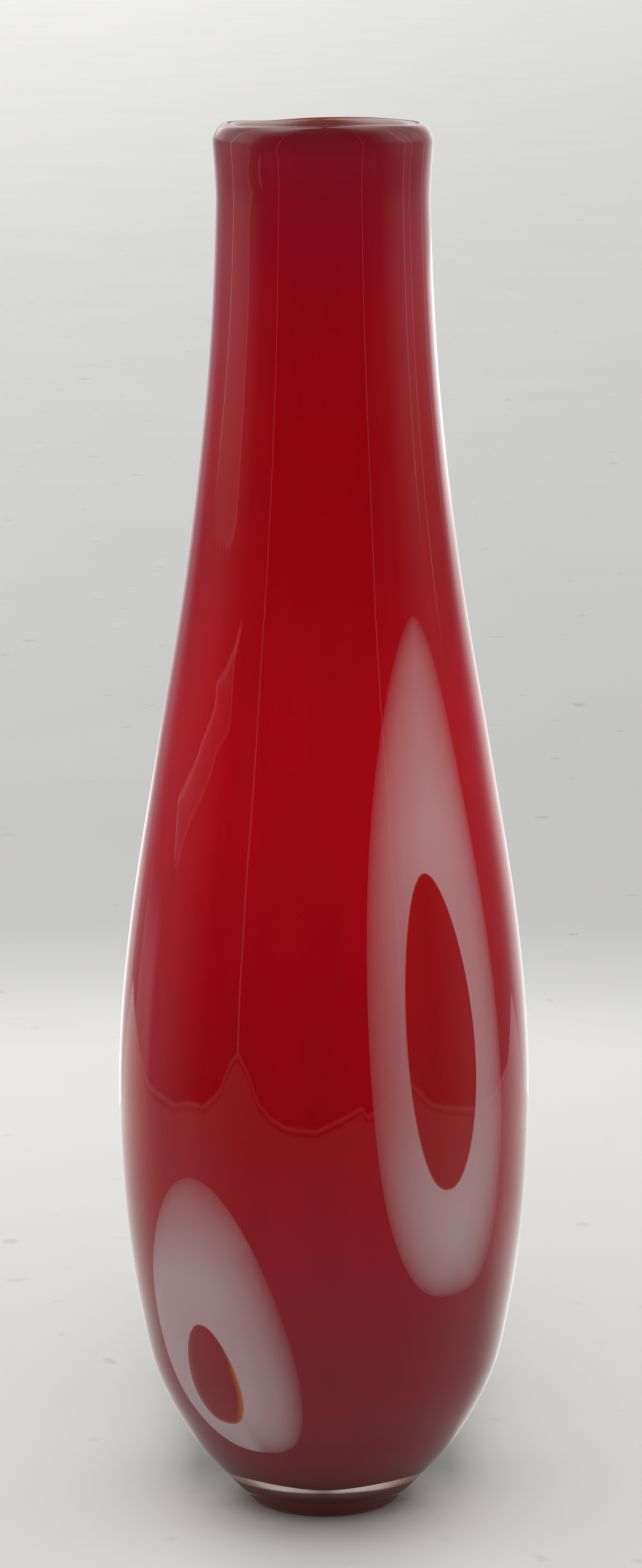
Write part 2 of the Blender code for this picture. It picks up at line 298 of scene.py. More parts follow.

# The red layer's red by height, darker towards the foot and the lip with painted shade, and the
# shares of green and blue that go with it
RED_AND_SHADE_BY_HEIGHT = (
    (0.0, 0.48), (0.0115, 0.48), (0.013, 0.33), (0.0155, 0.28), (0.024, 0.315), (0.046, 0.365),
    (0.075, 0.43), (0.107, 0.56), (0.147, 0.62), (0.19, 0.72), (0.225, 0.81), (0.264, 0.83),
    (0.285, 0.785), (0.314, 0.71), (0.354, 0.7), (0.393, 0.675), (0.432, 0.54), (0.4395, 0.52),
    (0.443, 0.44), (0.45, 0.28),
)
GREEN_SHARES = (
    (0.0, 0.1), (0.02, 0.1), (0.03, 0.045), (0.05, 0.03), (0.11, 0.008), (0.38, 0.007),
    (0.42, 0.012), (0.45, 0.045),
)
BLUE_SHARES = (
    (0.0, 0.14), (0.02, 0.14), (0.03, 0.1), (0.06, 0.09), (0.11, 0.038), (0.15, 0.024),
    (0.36, 0.016), (0.42, 0.045), (0.45, 0.09),
)

# A painted highlight: a pale, glowing ring on the bubble's underside, for the light through the base.
# Its soft edges dip towards the axis before and behind, by a power of how far it is from the sides
RING_OUTER = (0.0251, 0.0257)
RING_OUTER_DIP = (5.0, 0.0044)
RING_INNER = (0.0206, 0.0238)
RING_INNER_DIP = (0.4, 0.0047)
RING_TOP = (0.022, 0.024)
RING_HAZE = ((0.006, 0.016), (0.0, 0.08))
RING_FRONT_DIP = (60.0, -0.6)
RING_SIDES = ((0.2, 0.8), (0.50, 1.0))
RING_TINTS = (0.35, 0.9)
RING_LIGHT_COLOUR = (0.90, 0.80, 0.78, 1.0)
RING_WARM_LIGHT = (0.72, 0.47, 0.34, 1.0)
PAINTED_RING_GLOW = 0.34

# Painted shade: low at the rear the red is darkest
LOW_SHADE_COLOUR = (0.15, 0.020, 0.024, 1.0)
LOW_SHADE_REAR = (0.15, 0.65)
LOW_SHADE_UP_TO = (0.018, 0.050)

# The red layer's inner face round the mouth, where it is thin over the opal
MOUTH_COLOUR = (0.50, 0.10, 0.085, 1.0)
# A painted highlight pales the mouth towards both its ends
MOUTH_HIGHLIGHT = (0.86, 0.68, 0.65, 1.0)
MOUTH_INSIDE = (0.0307, 0.0317)
MOUTH_ABOVE = (0.434, 0.440)
FAR_RIM = (0.2, 0.6)
FAR_RIM_ABOVE = (0.4425, 0.4445)
MOUTH_HIGHLIGHT_ASIDE = ((0.003, 0.024), (0.0, 0.85))

# The pale inlays' red and green by height. Their blue goes a little above their green
# Their red falls lower down, painted shade; the pink is their own
PALE_RED = (
    (0.025, 0.74), (0.048, 0.765), (0.085, 0.76), (0.1, 0.79), (0.147, 0.86), (0.19, 0.93),
    (0.232, 0.985), (0.26, 0.97), (0.3, 0.93),
)
PALE_GREEN = (
    (0.025, 0.6), (0.048, 0.585), (0.072, 0.54), (0.085, 0.55), (0.1, 0.59), (0.125, 0.54),
    (0.147, 0.49), (0.19, 0.51), (0.232, 0.565), (0.26, 0.51), (0.28, 0.46), (0.3, 0.43),
)
PALE_BLUE = 1.07

# The cores' colour, the amber glow at their edge and the mauve inside their shaded edge
# The cores darken lower down with the same painted shade as the red layer
CORE_LOW = (0.385, 0.022, 0.028, 1.0)
CORE_HIGH = (0.72, 0.012, 0.016, 1.0)
CORE_HEIGHTS = (0.05, 0.20)
AMBER = (0.80, 0.24, 0.05, 1.0)
MAUVE = (0.48, 0.11, 0.13, 1.0)
CORE_STREAK = (0.40, 0.02, 0.02, 1.0)
CORE_STREAKS = ((0.35, 0.75), (0.0, 0.16))

# The other glass: the clear casing with its cords and waves, the ground foot and the opal lining
GLASS_IOR = 1.5
CLEAR = (0.99, 0.985, 0.98, 1.0)
CLEAR_ROUGHNESS = 0.015
CORD_SHARE = 0.15
WAVE_DEPTH = 0.00006
# The ground foot's dark colours are painted shade where it sits on the floor
GROUND_DARK = (0.085, 0.055, 0.052, 1.0)
GROUND_PALE = (0.16, 0.12, 0.115, 1.0)
GROUND_WEAR = (0.35, 0.65)
GROUND_ROUGHNESS = (0.55, 0.75)
OPAL_THIN = (0.66, 0.58, 0.57, 1.0)
OPAL_MILKY = (0.80, 0.76, 0.74, 1.0)
OPAL_ROUGHNESS = 0.12

# What a noise mostly spans, the range of a spread that falls, and how strong the streaks are
NOISE_SPAN = (0.3, 0.7)
DOWN = (1.0, 0.0)
RED_STREAKS = (0.97, 1.03)
PALE_STREAKS = (0.95, 1.03)


def held(share):
    return max(0.0, min(1.0, share))


def eased(share):
    """A share from 0 to 1 with a soft start and end."""
    return share * share * (3 - 2 * share)


def wrapped(degrees):
    """The same angle between -180 and 180."""
    return (degrees + 180) % 360 - 180


def turned(reach, angle, height):
    """The point that far from the axis, at an angle from the front."""
    return Vector((reach * math.sin(angle), -reach * math.cos(angle), height))


def smooth_line(points, steps):
    ends = [2 * points[0] - points[1]] + list(points) + [2 * points[-1] - points[-2]]
    line = []
    for before, start, end, after in zip(ends, ends[1:], ends[2:], ends[3:]):
        span = (end - start).length
        start_pull = (end - before) * (span / (end - before).length)
        end_pull = (after - start) * (span / (after - start).length)
        for step in range(steps):
            t = step / steps
            line.append(
                start * (2 * t**3 - 3 * t**2 + 1)
                + start_pull * (t**3 - 2 * t**2 + t)
                + end * (3 * t**2 - 2 * t**3)
                + end_pull * (t**3 - t**2)
            )
    line.append(points[-1].copy())
    return line


def respaced(line, steps):
    whole = sum((b - a).length for a, b in zip(line, line[1:]))
    travel = [0.0]
    for index in range(1, len(line)):
        piece = line[index] - line[index - 1]
        ahead = line[min(index + 1, len(line) - 1)] - line[index]
        bend = piece.angle(ahead, 0.0)
        travel.append(travel[-1] + piece.length / whole + bend / math.pi)
    found = []
    index = 0
    for step in range(steps + 1):
        target = travel[-1] * step / steps
        while index < len(line) - 2 and travel[index + 1] < target:
            index += 1
        share = (target - travel[index]) / (travel[index + 1] - travel[index])
        found.append(line[index].lerp(line[index + 1], share))
    return found


def inset(line, depth):
    """The line moved into the vessel by depth: up at the axis and level at the top."""
    found = []
    for index, point in enumerate(line):
        run = line[min(index + 1, len(line) - 1)] - line[max(index - 1, 0)]
        way = Vector((-run.y, run.x)).normalized()
        if index == 0:
            way = Vector((0.0, 1.0))
        if index == len(line) - 1:
            way = Vector((-1.0, 0.0))
        found.append(point + way * depth)
    return found


def cut_at(line, height):
    """The parts of a rising line below and above a height. Both have a point at that height."""
    below = [point for point in line if point.y < height]
    above = line[len(below) :]
    share = (height - below[-1].y) / (above[0].y - below[-1].y)
    cut = below[-1].lerp(above[0], share)
    return below + [cut], [cut] + above


def arch(start, end, rise, steps):
    """The points of half an ellipse over two points at one height, without those two."""
    middle = (start + end) / 2
    reach = (start - end) / 2
    points = []
    for step in range(1, steps):
        angle = math.pi * step / steps
        points.append(middle + reach * math.cos(angle) + Vector((0.0, rise * math.sin(angle))))
    return points


def outer_line():
    lower_reach = BELLY_RADIUS - FOOT_RADIUS
    points = [
        Vector((FOOT_RADIUS + lower_reach * out, BELLY_HEIGHT * up)) for up, out in LOWER_SHARES
    ]
    upper_rise = NECK_HEIGHT - BELLY_HEIGHT
    upper_reach = BELLY_RADIUS - NECK_RADIUS
    points += [
        Vector((BELLY_RADIUS - upper_reach * back, BELLY_HEIGHT + upper_rise * up))
        for up, back in UPPER_SHARES
    ]
    points.append(Vector((LIP_RADIUS, HEIGHT - LIP_ROUND)))
    return smooth_line(points, OUTLINE_STEPS)


def bubble_line(skin):
    """The face that the clear casing shares with the red layer, from the axis to the lip's round."""
    wall = [p for p in inset(skin, CASING_WALL) if BASE_BLEND_HEIGHT < p.y < HEIGHT - LIP_ROUND]
    top = Vector((LIP_RADIUS - CASING_WALL, HEIGHT - LIP_ROUND))
    join = wall[0]
    climb = (wall[1] - join).normalized()
    base = Vector((0.0, CASING_BASE))
    base_pull = base + Vector((join.x * BASE_REACH_SHARE, 0.0))
    wall_pull = join - climb * (join.y - CASING_BASE) * WALL_REACH_SHARE
    round_base = []
    for step in range(BASE_STEPS):
        t = step / BASE_STEPS
        round_base.append(
            base * (1 - t) ** 3
            + base_pull * (3 * t * (1 - t) ** 2)
            + wall_pull * (3 * t**2 * (1 - t))
            + join * t**3
        )
    return respaced(round_base + wall + [top], BUBBLE_STEPS)


SKIN = outer_line()
BUBBLE = bubble_line(SKIN)


def wobble(angle, height):
    """How far the hand-blown wall strays from true, in metres."""
    out = Vector((math.cos(angle), math.sin(angle), height * WOBBLE_RISE))
    return noise.noise(out * WOBBLE_PACE) * WOBBLE * min(1.0, height / WOBBLE_FULL)


def lip_rise(angle, reach):
    """How far the fire-polished lip rises or dips round the mouth, in metres."""
    degrees = math.degrees(angle)
    rise = 0.0
    for place, width, amount in LIP_WAVES:
        rise += amount * math.exp(-((wrapped(degrees - place) / width) ** 2))
    out = Vector((math.cos(angle) * 1.3, math.sin(angle) * 1.3, 7.0))
    shoulder = held((reach - DROOP_FROM) / DROOP_REACH)
    return rise + noise.noise(out) * LIP_RIPPLE - LIP_DROOP * shoulder**DROOP_POWER


def bridge(made, first, second):
    """Faces between two closed rows of points."""
    count = len(first)
    for index in range(count):
        after = (index + 1) % count
        made.faces.new((first[index], second[index], second[after], first[after]))


def revolve(line):
    """A closed mesh turned from a line that starts and ends on the axis."""
    made = bmesh.new()
    rings = []
    for point in line:
        if point.x < ON_AXIS:
            rings.append([made.verts.new((0.0, 0.0, point.y))])
            continue
        ring = []
        near_lip = held((point.y - (HEIGHT - LIP_BAND)) / LIP_BAND)
        for step in range(TURN):
            angle = 2 * math.pi * step / TURN
            reach = point.x + wobble(angle, point.y)
            rise = lip_rise(angle, point.x) * near_lip * near_lip
            ring.append(made.verts.new(turned(reach, angle, point.y + rise)))
        rings.append(ring)
    for low, high in zip(rings, rings[1:]):
        if len(low) == len(high):
            bridge(made, low, high)
            continue
        for step in range(TURN):
            after = (step + 1) % TURN
            if len(low) == 1:
                made.faces.new((low[0], high[step], high[after]))
            else:
                made.faces.new((low[step], high[0], low[after]))
    bmesh.ops.recalc_face_normals(made, faces=made.faces)
    return made


def linked(name, data):
    thing = bpy.data.objects.new(name, data)
    bpy.context.scene.collection.objects.link(thing)
    return thing


def finished(name, made, sharp=None):
    """The object that a bmesh makes, shaded smooth."""
    mesh = bpy.data.meshes.new(name)
    made.to_mesh(mesh)
    made.free()
    mesh.shade_smooth()
    if sharp:
        mesh.set_sharp_from_angle(angle=math.radians(sharp))
    return linked(name, mesh)


def add_seeds(made):
    """Small air bubbles inside the clear casing. Each is a closed hollow, so it faces inwards."""
    rng = np.random.default_rng(5)
    heights = np.array([p.y for p in SKIN])
    reaches = np.array([p.x for p in SKIN])
    for number in range(SEED_COUNT):
        degrees = rng.uniform(-180, 180)
        height = rng.uniform(*SEED_HEIGHTS)
        if number < CLUSTER_COUNT:
            degrees = rng.uniform(*CLUSTER_ANGLES)
            height = rng.uniform(*CLUSTER_HEIGHTS)
        size = rng.uniform(*SEED_RADII)
        depth = rng.uniform(*SEED_DEPTHS) * CASING_WALL
        reach = float(np.interp(height, heights, reaches)) - depth
        grown = bmesh.ops.create_icosphere(made, subdivisions=2, radius=size)
        stretch = rng.uniform(*SEED_STRETCH)
        for vert in grown["verts"]:
            vert.co.z *= stretch
            vert.co += turned(reach, math.radians(degrees), height)
        faces = {face for vert in grown["verts"] for face in vert.link_faces}
        bmesh.ops.reverse_faces(made, faces=list(faces))


def make_casing():
    flat = [Vector((reach, 0.0)) for reach in (0.0, FOOT_RADIUS / 2, FOOT_RADIUS - FOOT_EDGE)]
    climb = (SKIN[1] - SKIN[0]).normalized()
    edge_end = SKIN[0] + climb * FOOT_EDGE
    corner = flat[-1]
    for step in range(1, EDGE_STEPS):
        t = step / EDGE_STEPS
        flat.append(corner.lerp(SKIN[0], t).lerp(SKIN[0].lerp(edge_end, t), t))
    skin = respaced([edge_end] + [p for p in SKIN if p.y > edge_end.y], SKIN_STEPS)
    fold_height = HEIGHT - LIP_FOLD
    fold_back = cut_at(inset(BUBBLE, RED_DEPTH), fold_height)[1]
    fold_face = cut_at(inset(BUBBLE, INSIDE_DEPTH), fold_height)[1]
    lip = arch(skin[-1], fold_face[-1], LIP_ROUND, LIP_STEPS)
    over_rim = arch(fold_back[-1], BUBBLE[-1], LIP_ROUND - LIP_WALL, RIM_STEPS)
    line = flat + skin + lip + list(reversed(fold_face)) + fold_back
    line += over_rim + list(reversed(BUBBLE))
    made = revolve(line)
    for face in made.faces:
        if face.calc_center_median().z < ON_FLAT:
            face.material_index = 1
    add_seeds(made)
    return finished("casing", made)


def make_red():
    outside = inset(BUBBLE, -FUSE)
    inside = inset(BUBBLE, RED_DEPTH + FUSE)
    rim = arch(outside[-1], inside[-1], LIP_ROUND - LIP_WALL + FUSE, RIM_STEPS)
    return finished("red_overlay", revolve(outside + rim + list(reversed(inside))))


def make_lining():
    rim_height = HEIGHT - LIP_FOLD
    outside = cut_at(inset(BUBBLE, RED_DEPTH - FUSE), rim_height)[0]
    inside = cut_at(inset(BUBBLE, INSIDE_DEPTH), rim_height)[0]
    return finished("opal_bubble", revolve(outside + list(reversed(inside))))


class Graph:
    """Adds nodes to a tree, one short call for each."""

    def __init__(self, tree):
        self.tree = tree

    def feed(self, node, values):
        """Gives a node's inputs their values, or links them to the sockets given."""
        for socket, value in values.items():
            if isinstance(value, bpy.types.NodeSocket):
                self.tree.links.new(value, node.inputs[socket])
            else:
                node.inputs[socket].default_value = value

    def add(self, kind, values=None, **settings):
        node = self.tree.nodes.new(kind)
        for name, setting in settings.items():
            setattr(node, name, setting)
        self.feed(node, values or {})
        return node

    def maths(self, operation, first, second=0.0):
        node = self.add("ShaderNodeMath", {0: first, 1: second}, operation=operation)
        return node.outputs["Value"]

    def times(self, first, *others):
        for other in others:
            first = self.maths("MULTIPLY", first, other)
        return first

    def spread(self, value, from_range, to_range=(0.0, 1.0), smooth=True):
        """The value carried from one range to another, held at both ends."""
        kind = "SMOOTHSTEP" if smooth else "LINEAR"
        values = dict(enumerate((value, *from_range, *to_range)))
        return self.add("ShaderNodeMapRange", values, interpolation_type=kind).outputs["Result"]

    def curve(self, value, spots):
        """The value read off a line through the spots, as a grey ramp."""
        low = spots[0][0]
        span = spots[-1][0] - low
        share = self.spread(value, (low, low + span), smooth=False)
        ramp_node = self.add("ShaderNodeValToRGB", {"Fac": share})
        ramp = ramp_node.color_ramp
        ramp.interpolation = "LINEAR"
        while len(ramp.elements) > 1:
            ramp.elements.remove(ramp.elements[-1])
        for index, (place, tone) in enumerate(spots):
            where = (place - low) / span
            spot = ramp.elements[0] if index == 0 else ramp.elements.new(where)
            spot.position = where
            spot.color = (tone, tone, tone, 1.0)
        return ramp_node.outputs["Color"]

    def place(self):
        """Where a point is on its object."""
        return self.add("ShaderNodeTexCoord").outputs["Object"]

    def parts(self, place):
        """How far a place is along each axis."""
        return self.add("ShaderNodeSeparateXYZ", {"Vector": place}).outputs

    def length(self, place):
        return self.add("ShaderNodeVectorMath", {0: place}, operation="LENGTH").outputs["Value"]

    def stretched(self, place, scale):
        """The place scaled by its own amount along each axis."""
        node = self.add("ShaderNodeVectorMath", {0: place, 1: scale}, operation="MULTIPLY")
        return node.outputs["Vector"]

    def noise(self, place, scale, detail, distortion=0.0):
        values = {"Vector": place, "Scale": scale, "Detail": detail, "Distortion": distortion}
        return self.add("ShaderNodeTexNoise", values).outputs["Fac"]

    def streaks(self, place, scale, detail, distortion=0.0):
        """A noise with its own scale along each axis."""
        return self.noise(self.stretched(place, scale), 1.0, detail, distortion)

    def colour(self, red, green, blue):
        values = {"Red": red, "Green": green, "Blue": blue}
        return self.add("ShaderNodeCombineColor", values).outputs["Color"]

    def mix(self, share, first, second):
        values = {"Factor": share, 6: first, 7: second}
        return self.add("ShaderNodeMix", values, data_type="RGBA").outputs[2]

    def stored(self, name):
        """A value that the mesh holds at each of its points."""
        return self.add("ShaderNodeAttribute", attribute_name=name).outputs["Fac"]


class Look(Graph):
    """A new material and its graph."""

    def __init__(self, name, values):
        self.material = bpy.data.materials.new(name)
        self.material.use_nodes = True
        super().__init__(self.material.node_tree)
        self.shade(values)

    def shade(self, values):
        """Feeds the shader and gives the material."""
        self.feed(self.tree.nodes["Principled BSDF"], values)
        return self.material


def clear_glass():
    """The casing: clear, with the faint cords and slow waves of glass that was blown by hand."""
    values = {"Base Color": CLEAR, "Roughness": CLEAR_ROUGHNESS, "IOR": GLASS_IOR}
    graph = Look("clear_glass", values | {"Transmission Weight": 1.0})
    place = graph.place()
    waves = graph.streaks(place, (40.0, 40.0, 7.0), detail=2.0)
    cords = graph.streaks(place, (150.0, 150.0, 9.0), detail=1.0)
    height = graph.maths("ADD", waves, graph.times(cords, CORD_SHARE))
    bump = graph.add("ShaderNodeBump", {"Height": height, "Strength": 1.0, "Distance": WAVE_DEPTH})
    return graph.shade({"Normal": bump.outputs["Normal"]})


def ground_glass():
    """The foot's flat face, ground on the wheel: dull, finely scored, and painted dark as the shade
    where it sits on the floor.
    """
    graph = Look("ground_foot", {})
    place = graph.place()
    grain = graph.noise(place, scale=2600.0, detail=3.0)
    scores = graph.streaks(place, (300.0, 2400.0, 1.0), detail=2.0)
    wear = graph.maths("ADD", graph.times(grain, 0.5), graph.times(scores, 0.5))
    colour = graph.mix(graph.spread(wear, GROUND_WEAR), GROUND_DARK, GROUND_PALE)
    rough = graph.spread(wear, NOISE_SPAN, GROUND_ROUGHNESS)
    return graph.shade({"Base Color": colour, "Roughness": rough})


def shaded_red_tone(graph):
    """The red layer's colour, with painted shade towards the foot and the lip, streaked along the
    vase.
    """
    place = graph.place()
    parts = graph.parts(place)
    streaks = graph.streaks(place, (90.0, 90.0, 5.0), detail=3.0)
    clouds = graph.noise(place, scale=22.0, detail=2.0)
    red = graph.times(
        graph.curve(parts["Z"], RED_AND_SHADE_BY_HEIGHT),
        graph.spread(streaks, NOISE_SPAN, RED_STREAKS),
        graph.spread(clouds, NOISE_SPAN, RED_STREAKS),
    )
    green = graph.times(red, graph.curve(parts["Z"], GREEN_SHARES))
    blue = graph.times(red, graph.curve(parts["Z"], BLUE_SHARES))
    return place, parts, graph.colour(red, green, blue)


def cased(name):
    """An inner layer's material. The casing over it gives the gloss, so its own is nil."""
    return Look(name, {"Roughness": 0.5, "Specular IOR Level": 0.0})


def dipped(graph, value, ahead, power, dip):
    """The value, changed by a dip the nearer a place is to the front or the rear."""
    return graph.maths("ADD", value, graph.times(graph.maths("POWER", ahead, power), dip))


def painted_light_ring(graph, place, parts, reach, ahead):
    """How much of the painted highlight, the pale ring under the bubble, shows at a place."""
    outer = graph.spread(dipped(graph, reach, ahead, *RING_OUTER_DIP), RING_OUTER, DOWN)
    inner = graph.spread(dipped(graph, reach, ahead, *RING_INNER_DIP), RING_INNER)
    inner = graph.maths("MAXIMUM", inner, graph.spread(reach, *RING_HAZE))
    under = graph.spread(parts["Z"], RING_TOP, DOWN)
    patchy = graph.spread(graph.noise(place, scale=120.0, detail=2.0), NOISE_SPAN, (0.7, 1.0))
    front = dipped(graph, 1.0, ahead, *RING_FRONT_DIP)
    return graph.times(inner, outer, under, patchy, front, graph.spread(ahead, *RING_SIDES))


def red_glass():
    graph = cased("red_glass")
    place, parts, colour = shaded_red_tone(graph)
    reach = graph.length(graph.stretched(place, (1.0, 1.0, 0.0)))
    to_rear = graph.maths("DIVIDE", parts["Y"], reach)
    ahead = graph.maths("ABSOLUTE", to_rear)
    # Painted shade darkens the red low at the rear
    low_shade = graph.times(
        graph.spread(to_rear, LOW_SHADE_REAR), graph.spread(parts["Z"], LOW_SHADE_UP_TO, DOWN)
    )
    colour = graph.mix(low_shade, colour, LOW_SHADE_COLOUR)
    mouth = graph.times(
        graph.spread(reach, MOUTH_INSIDE, DOWN), graph.spread(parts["Z"], MOUTH_ABOVE)
    )
    far_rim = graph.times(graph.spread(to_rear, FAR_RIM), graph.spread(parts["Z"], FAR_RIM_ABOVE))
    # Painted highlight: the mouth's colour pales towards both its ends
    aside = graph.spread(graph.maths("ABSOLUTE", parts["X"]), *MOUTH_HIGHLIGHT_ASIDE)
    mouth_colour = graph.mix(aside, MOUTH_COLOUR, MOUTH_HIGHLIGHT)
    colour = graph.mix(graph.maths("MAXIMUM", mouth, far_rim), colour, mouth_colour)
    ring = painted_light_ring(graph, place, parts, reach, ahead)
    ring_light_colour = graph.mix(graph.spread(ahead, RING_TINTS), RING_WARM_LIGHT, RING_LIGHT_COLOUR)
    # Painted highlight: the ring is paler and glows, though it is no lamp
    values = {
        "Base Color": graph.mix(ring, colour, ring_light_colour),
        "Emission Color": ring_light_colour,
        "Emission Strength": graph.times(ring, PAINTED_RING_GLOW),
    }
    return graph.shade(values)


def opal_glass():
    """The lining: milky, with the swirls of the gather, and glossy inside the mouth."""
    graph = Look("opal_glass", {"Roughness": OPAL_ROUGHNESS, "IOR": GLASS_IOR})
    swirl = graph.streaks(graph.place(), (30.0, 30.0, 9.0), detail=4.0, distortion=0.6)
    colour = graph.mix(graph.spread(swirl, NOISE_SPAN), OPAL_THIN, OPAL_MILKY)
    return graph.shade({"Base Color": colour})


def pale_glass():
    graph = cased("pale_pink_glass")
    place, parts, red = shaded_red_tone(graph)
    clouds = graph.streaks(place, (45.0, 45.0, 14.0), detail=4.0)
    milky = graph.spread(clouds, NOISE_SPAN, PALE_STREAKS)
    green = graph.times(graph.curve(parts["Z"], PALE_GREEN), milky)
    # Painted shade: the pale red falls lower down
    pale_red = graph.curve(parts["Z"], PALE_RED)
    pale = graph.colour(pale_red, green, graph.times(green, PALE_BLUE))
    return graph.shade({"Base Color": graph.mix(graph.stored("cover"), red, pale)})


def core_glass():
    graph = cased("core_red_glass")
    place = graph.place()
    # Painted shade: the cores are darker lower down
    height = graph.spread(graph.parts(place)["Z"], CORE_HEIGHTS, smooth=False)
    red = graph.mix(height, CORE_LOW, CORE_HIGH)
    streaks = graph.streaks(place, (80.0, 80.0, 12.0), detail=3.0)
    red = graph.mix(graph.spread(streaks, *CORE_STREAKS), red, CORE_STREAK)
    red = graph.mix(graph.stored("mauve"), red, MAUVE)
    return graph.shade({"Base Color": graph.mix(graph.stored("amber"), red, AMBER)})


# An oval is seen square on: its length and half width, how far its top leans, its middle bows and
# the whole of it is moved to the side, how far up it is widest, and how full its sides are
Form = namedtuple("Form", "length half_width lean bow aside widest fullness")
TALL = Form(0.2170, 0.0250, -0.0016, -0.0052, 0.0, 0.32, 0.56)
TALL_CORE = Form(0.1014, 0.0129, -0.0040, 0.0, -0.0054, 0.44, 0.51)
TALL_LIFT = 0.0358
SHORT = Form(0.0924, 0.0258, -0.0102, -0.0020, 0.0, 0.43, 0.48)
SHORT_CORE = Form(0.0337, 0.0097, -0.0031, 0.0, -0.0043, 0.43, 0.46)
SHORT_LIFT = 0.0094

# How far the plates stand out of the red layer, and how far a core laps over its hole
PALE_RAISE = 0.00010
CORE_RAISE = 0.00016
CORE_LAP = 0.0002
SHARP_ANGLE = 40

# How soft the change is between an oval's sides, and what a rim's slow fill comes to
MIDLINE_BLEND = 0.006
FILL_END = 0.92

# How the pale glass thins at its rim, by the share of the way up it: at its left and its right,
# the cover right at the rim and the width in metres over which it fills, then its fullest cover
TALL_RIM = (
    (0.0, 0.15, 0.006, 0.1, 0.0055, 0.85),
    (0.05, 0.15, 0.0065, 0.05, 0.0075, 0.94),
    (0.13, 0.15, 0.0075, 0.05, 0.006, 0.97),
    (0.22, 0.15, 0.0085, 0.1, 0.0048, 0.97),
    (0.3, 0.18, 0.0125, 0.15, 0.0042, 0.95),
    (0.45, 0.18, 0.0125, 0.15, 0.0046, 0.96),
    (0.6, 0.12, 0.0085, 0.15, 0.0058, 0.98),
    (0.85, 0.05, 0.006, 0.1, 0.006, 0.98),
    (0.93, 0.0, 0.0045, 0.1, 0.005, 0.92),
    (1.0, 0.0, 0.005, 0.0, 0.005, 0.75),
)
SHORT_RIM = (
    (0.0, 0.85, 0.0015, 0.2, 0.004, 1.0),
    (0.08, 0.9, 0.0012, 0.1, 0.0052, 1.0),
    (0.2, 0.9, 0.001, 0.06, 0.0068, 1.0),
    (0.5, 0.9, 0.001, 0.05, 0.0085, 1.0),
    (0.62, 0.8, 0.002, 0.08, 0.0085, 1.0),
    (0.72, 0.6, 0.003, 0.15, 0.008, 0.82),
    (0.8, 0.5, 0.003, 0.35, 0.0055, 0.65),
    (1.0, 0.35, 0.003, 0.35, 0.004, 0.34),
)

# The cores' rims in the same way: the share of amber at the left and the right rim and its width,
# then the share of mauve inside the left rim and its width
TALL_CORE_RIM = (
    (0.0, 0.7, 0.7, 0.0005, 0.0, 0.001),
    (0.08, 0.5, 0.6, 0.0005, 0.0, 0.001),
    (0.3, 0.35, 0.1, 0.0004, 0.0, 0.001),
    (0.7, 0.35, 0.0, 0.0004, 0.0, 0.001),
    (1.0, 0.5, 0.5, 0.0004, 0.0, 0.001),
)
SHORT_CORE_RIM = (
    (0.0, 0.3, 0.6, 0.001, 0.5, 0.0012),
    (0.15, 0.0, 0.9, 0.0026, 0.9, 0.0025),
    (0.5, 0.0, 0.9, 0.0022, 0.8, 0.003),
    (0.8, 0.0, 0.3, 0.0008, 0.5, 0.002),
    (1.0, 0.3, 0.3, 0.0004, 0.0, 0.001),
)

# Each pair's name, forms, the core's height in the oval, rims, height on the vase and angle
TALL_PAIR = (TALL, TALL_CORE, TALL_LIFT, TALL_RIM, TALL_CORE_RIM)
SHORT_PAIR = (SHORT, SHORT_CORE, SHORT_LIFT, SHORT_RIM, SHORT_CORE_RIM)
OVALS = (
    ("front_tall", TALL_PAIR, 0.0812, 40.7),
    ("front_short", SHORT_PAIR, 0.0280, -35.7),
    ("back_tall", TALL_PAIR, 0.0560, -130.0),
    ("back_short", SHORT_PAIR, 0.1480, 132.0),
)


def midline(oval, up):
    """How far to the side the oval's middle is at a share of the way up it."""
    return oval.aside + oval.lean * (up - 0.5) + oval.bow * 4 * up * (1 - up)


def oval_outline(oval, low, grow=0.0):
    power = math.log(0.5) / math.log(oval.widest)
    count = OVAL_POINTS
    points = []
    for index in range(count):
        angle = 2 * math.pi * index / count
        up = (1 - math.cos(angle)) / 2
        side = 1 if angle < math.pi else -1
        width = max(math.sin(math.pi * up**power), 0.0) ** oval.fullness
        across = midline(oval, up) + side * oval.half_width * width
        points.append(Vector((across, low + oval.length * up)))
    moved = []
    for index, point in enumerate(points):
        run = points[(index + 1) % count] - points[index - 1]
        moved.append(point + Vector((run.y, -run.x)).normalized() * grow)
    return moved


BUBBLE_Z = np.array([p.y for p in BUBBLE])
BUBBLE_R = np.array([p.x for p in BUBBLE])
SLOPE_STEP = 0.001


def on_bubble(across, height, turn, depth):
    """The point of the casing's inner face that lies across and up as seen square on at turn."""
    reach = float(np.interp(height, BUBBLE_Z, BUBBLE_R))
    ahead = float(np.interp(height + SLOPE_STEP, BUBBLE_Z, BUBBLE_R))
    slope = Vector((SLOPE_STEP, reach - ahead)).normalized()
    angle = turn + math.asin(max(-0.999, min(0.999, across / reach)))
    reach += wobble(angle, height) - depth * slope.x
    height -= depth * slope.y
    return turned(reach, angle, height)


def blend_at(table, up):
    """A rim table's row at a share of the way up."""
    spots = np.array(table)
    return [float(np.interp(up, spots[:, 0], column)) for column in spots[:, 1:].T]


def soft_fill(distance, start, width):
    """How full the pale glass is at a distance from its rim: quick at first, then slow."""
    return min(1.0, start + (1 - start) * (1 - math.exp(-distance / width)) / FILL_END)


